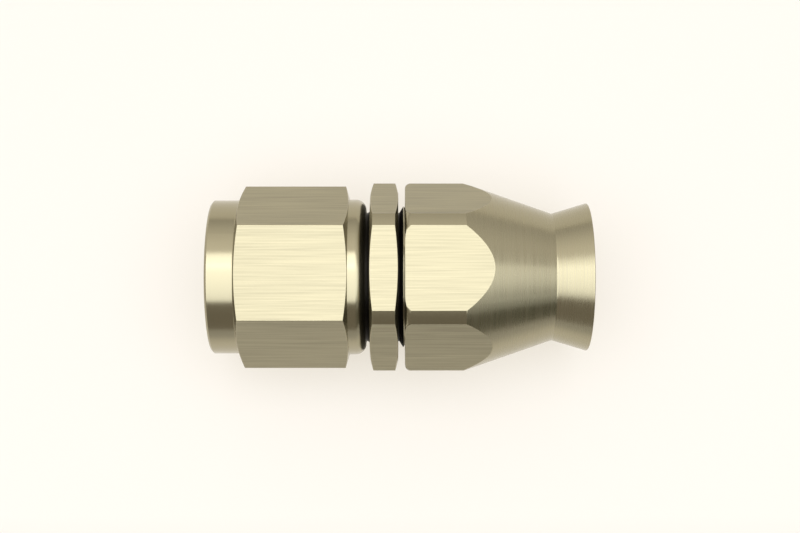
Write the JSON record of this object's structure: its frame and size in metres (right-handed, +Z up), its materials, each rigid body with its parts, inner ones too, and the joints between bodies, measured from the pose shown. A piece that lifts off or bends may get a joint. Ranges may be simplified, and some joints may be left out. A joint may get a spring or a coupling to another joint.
{
  "type": "swivel hose end",
  "caption": "Straight swivel hose end for braided PTFE hose: hex nut that turns on a nipple, and a screw-on socket with a flared bell mouth.",
  "frame": {"origin": "on the table, under the middle of the fitting's length, straight below its axis", "axes": "+X along the fitting's axis from the nut's mouth to the bell mouth, +Z up, with a flat of the middle hex and of the socket down"},
  "size_m": [0.0524, 0.0264, 0.0238],
  "materials": {
    "nut_anodised": "champagne anodised, fine brushed lines",
    "nipple_anodised": "champagne anodised, fine brushed lines",
    "spring_wire": "plain drawn wire",
    "olive_brass": "as turned",
    "socket_anodised": "champagne anodised, milled flats and turned cone"
  },
  "bodies": {
    "nipple": {"nipple": "nipple_anodised", "snap_ring": "spring_wire"},
    "nut": {"swivel_nut": "nut_anodised"},
    "olive": {"olive": "olive_brass"},
    "socket": {"socket": "socket_anodised"}
  },
  "joints": [
    {"name": "nut_swivel", "type": "hinge", "parent": "nipple", "child": "nut", "pos_m": [0, 0, 0.01191], "axis": [1, 0, 0], "continuous": true},
    {"name": "socket_travel", "type": "slide", "parent": "nipple", "child": "olive", "axis": [1, 0, 0], "range_m": [-0.0009, 0.0071]},
    {"name": "socket_screw", "type": "hinge", "parent": "olive", "child": "socket", "pos_m": [0, 0, 0.01191], "axis": [1, 0, 0], "range_deg": [-216, 1800]}
  ],
  "couplings": [
    {"joint": "socket_travel", "follows": "socket_screw", "m_per_rad": 0.00022458}
  ]
}
